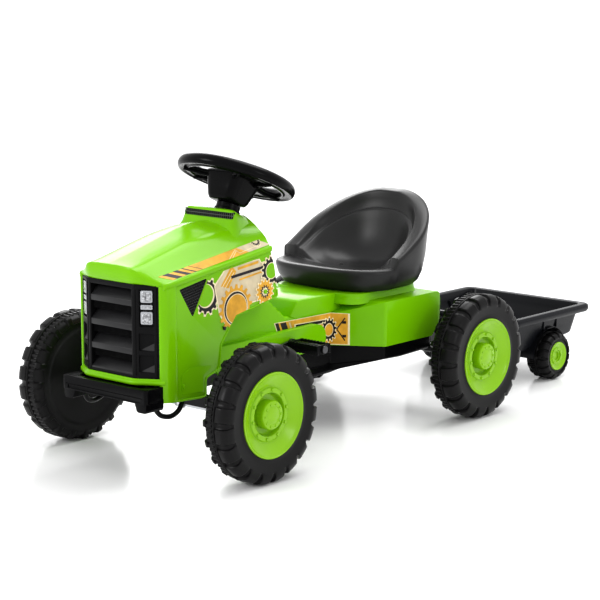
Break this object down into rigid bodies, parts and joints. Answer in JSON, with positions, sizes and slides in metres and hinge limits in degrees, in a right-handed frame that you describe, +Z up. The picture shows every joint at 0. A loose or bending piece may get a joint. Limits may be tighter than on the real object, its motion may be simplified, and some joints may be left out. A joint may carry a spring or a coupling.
{
  "type": "pedal tractor with trailer",
  "caption": "Child's pedal tractor with chain drive, linked front steering, bucket seat, louvred hood and a small towed trailer.",
  "frame": {"origin": "on the floor, below the middle of the vehicle's bounding box", "axes": "+Z up, -Y is forwards, +X is the vehicle's left side"},
  "size_m": [0.536, 1.3, 0.5478],
  "materials": {
    "green_plastic": "glossy lime green moulded plastic",
    "black_plastic": "satin black moulded plastic",
    "tyre_plastic": "blow-moulded black plastic with tread",
    "lamp_silver": "bright reflector",
    "steel": "zinc plated",
    "frame_paint": "black powder coat",
    "bush_plastic": "natural nylon"
  },
  "bodies": {
    "chassis": {"main_frame": "frame_paint", "front_axle_beam": "frame_paint", "chassis_tray": "black_plastic", "body_shell": "green_plastic", "hood_shell": "green_plastic", "front_grille": "black_plastic", "headlamp_left": "lamp_silver", "headlamp_right": "lamp_silver", "top_vent": "black_plastic", "side_vent_left": "black_plastic", "side_vent_right": "black_plastic", "front_bumper": "black_plastic", "bumper_stays": "frame_paint", "seat": "black_plastic", "seat_bolts": "steel", "body_screws": "steel", "column_collar": "black_plastic", "column_bracket": "frame_paint", "crank_bushes": "bush_plastic", "axle_bushes": "bush_plastic", "drive_chain": "steel", "chain_guard": "black_plastic", "hitch_bracket": "frame_paint", "tow_pin": "steel", "pin_clip": "steel"},
    "steering": {"steering_column": "steel", "steering_wheel": "black_plastic", "wheel_cap": "black_plastic"},
    "tie_rod": {"tie_rod": "steel"},
    "left_knuckle": {"knuckle_left": "steel", "kingpin_left": "steel"},
    "right_knuckle": {"knuckle_right": "steel", "kingpin_right": "steel"},
    "front_left_wheel": {"front_tyre_left": "tyre_plastic", "front_rim_left": "green_plastic", "front_hubcap_left": "green_plastic"},
    "front_right_wheel": {"front_tyre_right": "tyre_plastic", "front_rim_right": "green_plastic", "front_hubcap_right": "green_plastic"},
    "rear_axle": {"rear_axle": "steel", "rear_sprocket": "steel", "rear_spacers": "frame_paint", "rear_tyre_right": "tyre_plastic", "rear_rim_right": "green_plastic", "rear_hubcap_right": "green_plastic"},
    "rear_left_wheel": {"rear_tyre_left": "tyre_plastic", "rear_rim_left": "green_plastic", "rear_hubcap_left": "green_plastic"},
    "crank": {"crankset": "steel", "chainring": "steel"},
    "left_pedal": {"pedal_left": "black_plastic"},
    "right_pedal": {"pedal_right": "black_plastic"},
    "trailer": {"trailer_tub": "black_plastic", "drawbar": "frame_paint", "trailer_axle": "steel"},
    "trailer_left_wheel": {"trailer_wheel_left": "tyre_plastic", "trailer_rim_left": "green_plastic"},
    "trailer_right_wheel": {"trailer_wheel_right": "tyre_plastic", "trailer_rim_right": "green_plastic"}
  },
  "joints": [
    {"name": "steer", "type": "hinge", "parent": "chassis", "child": "steering", "pos_m": [0, -0.48023, 0.10702], "axis": [0, 0.4067, 0.9135], "range_deg": [-28, 28]},
    {"name": "tie_rod_slide", "type": "slide", "parent": "chassis", "child": "tie_rod", "axis": [-1, 0, 0], "range_m": [-0.0157, 0.0157]},
    {"name": "left_knuckle_turn", "type": "hinge", "parent": "chassis", "child": "left_knuckle", "pos_m": [0.168, -0.501, 0.1225], "axis": [0, 0, 1], "range_deg": [-18, 18]},
    {"name": "front_left_spin", "type": "hinge", "parent": "left_knuckle", "child": "front_left_wheel", "pos_m": [0.237, -0.501, 0.1225], "axis": [1, 0, 0], "continuous": true},
    {"name": "right_knuckle_turn", "type": "hinge", "parent": "chassis", "child": "right_knuckle", "pos_m": [-0.168, -0.501, 0.1225], "axis": [0, 0, 1], "range_deg": [-18, 18]},
    {"name": "front_right_spin", "type": "hinge", "parent": "right_knuckle", "child": "front_right_wheel", "pos_m": [-0.237, -0.501, 0.1225], "axis": [1, 0, 0], "continuous": true},
    {"name": "rear_axle_spin", "type": "hinge", "parent": "chassis", "child": "rear_axle", "pos_m": [0, 0.135, 0.1225], "axis": [1, 0, 0], "continuous": true},
    {"name": "rear_left_spin", "type": "hinge", "parent": "chassis", "child": "rear_left_wheel", "pos_m": [0.229, 0.135, 0.1225], "axis": [1, 0, 0], "continuous": true},
    {"name": "crank_spin", "type": "hinge", "parent": "chassis", "child": "crank", "pos_m": [0, -0.31948, 0.172], "axis": [1, 0, 0], "continuous": true},
    {"name": "left_pedal_spin", "type": "hinge", "parent": "crank", "child": "left_pedal", "pos_m": [0.123, -0.24428, 0.183], "axis": [1, 0, 0], "continuous": true},
    {"name": "right_pedal_spin", "type": "hinge", "parent": "crank", "child": "right_pedal", "pos_m": [-0.123, -0.39468, 0.161], "axis": [1, 0, 0], "continuous": true},
    {"name": "trailer_yaw", "type": "hinge", "parent": "chassis", "child": "trailer", "pos_m": [0, 0.199, 0.1525], "axis": [0, 0, 1], "range_deg": [-22, 22]},
    {"name": "trailer_left_spin", "type": "hinge", "parent": "trailer", "child": "trailer_left_wheel", "pos_m": [0.145, 0.517, 0.051], "axis": [1, 0, 0], "continuous": true},
    {"name": "trailer_right_spin", "type": "hinge", "parent": "trailer", "child": "trailer_right_wheel", "pos_m": [-0.145, 0.517, 0.051], "axis": [1, 0, 0], "continuous": true}
  ],
  "couplings": [
    {"joint": "tie_rod_slide", "follows": "steer", "m_per_rad": 0.032},
    {"joint": "left_knuckle_turn", "follows": "steer", "ratio": 0.64},
    {"joint": "right_knuckle_turn", "follows": "steer", "ratio": 0.64},
    {"joint": "crank_spin", "follows": "rear_axle_spin", "ratio": 0.75}
  ]
}
